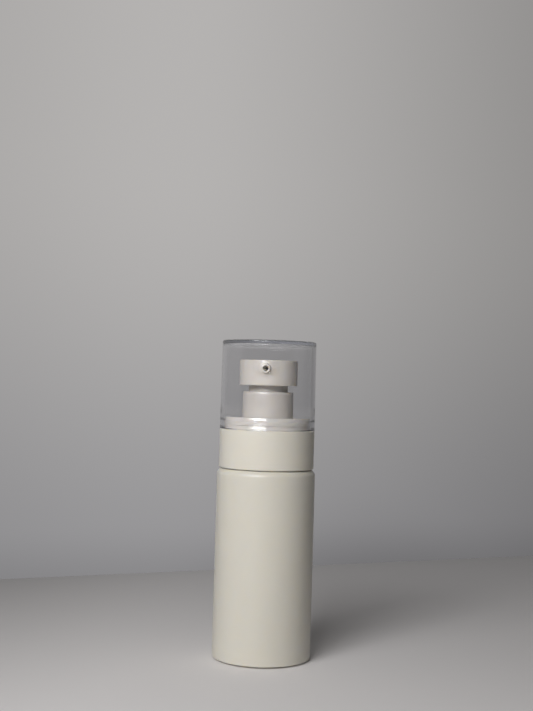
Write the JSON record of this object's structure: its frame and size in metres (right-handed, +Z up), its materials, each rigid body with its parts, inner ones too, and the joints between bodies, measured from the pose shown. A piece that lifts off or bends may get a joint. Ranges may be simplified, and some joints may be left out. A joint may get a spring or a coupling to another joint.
{
  "type": "lotion pump bottle",
  "caption": "Straight cylindrical cosmetic bottle with a dip tube lotion pump, a collar, a round nozzle head and a clear flat-topped overcap that lifts off.",
  "frame": {"origin": "centre of the face that the bottle stands on", "axes": "+Z up along the bottle's axis, the nozzle points along -Y"},
  "size_m": [0.04, 0.04, 0.1288],
  "materials": {
    "bottle_satin_white": "satin warm white, blow moulded",
    "collar_satin_white": "satin warm white, injection moulded",
    "head_white": "semi-gloss white, injection moulded",
    "clear_overcap": "clear styrene plastic with a faint grey tint",
    "natural_plastic": "natural translucent",
    "soft_seal": "soft white polyethylene",
    "spring_steel": "stainless wire"
  },
  "bodies": {
    "bottle": {"bottle_body": "bottle_satin_white"},
    "pump": {"pump_housing": "natural_plastic", "neck_gasket": "soft_seal", "dip_tube": "natural_plastic", "stem_guide": "natural_plastic", "guide_sleeve": "head_white", "return_spring": "spring_steel"},
    "closure": {"threaded_closure": "collar_satin_white", "outer_collar": "collar_satin_white"},
    "overcap": {"overcap": "clear_overcap"},
    "stem": {"pump_stem": "natural_plastic", "piston_rod": "natural_plastic"},
    "head": {"actuator_shell": "head_white", "actuator_core": "head_white", "nozzle_insert": "head_white"},
    "piston": {"piston_seal": "soft_seal"},
    "ball": {"inlet_ball": "spring_steel"}
  },
  "joints": [
    {"name": "pump_lift", "type": "slide", "parent": "bottle", "child": "pump", "axis": [0, 0, 1], "range_m": [0, 0.0048]},
    {"name": "closure_turn", "type": "hinge", "parent": "pump", "child": "closure", "pos_m": [0, 0, 0.0776], "axis": [0, 0, 1], "range_deg": [0, 540]},
    {"name": "overcap_lift", "type": "slide", "parent": "closure", "child": "overcap", "axis": [0, 0, 1], "range_m": [0, 0.04]},
    {"name": "actuator_press", "type": "slide", "parent": "pump", "child": "stem", "axis": [0, 0, -1], "range_m": [0, 0.005], "stiffness_N_per_m": 900, "springref_m": -0.006, "deforming": ["return_spring"]},
    {"name": "actuator_turn", "type": "hinge", "parent": "stem", "child": "head", "pos_m": [0, 0, 0.1107], "axis": [0, 0, 1], "continuous": true},
    {"name": "piston_slide", "type": "slide", "parent": "pump", "child": "piston", "axis": [0, 0, -1], "range_m": [0, 0.0042]},
    {"name": "ball_lift", "type": "slide", "parent": "pump", "child": "ball", "axis": [0, 0, 1], "range_m": [0, 0.0008]}
  ],
  "couplings": [
    {"joint": "pump_lift", "follows": "closure_turn", "m_per_rad": 0.00050532},
    {"joint": "piston_slide", "follows": "actuator_press", "ratio": 0.84}
  ]
}
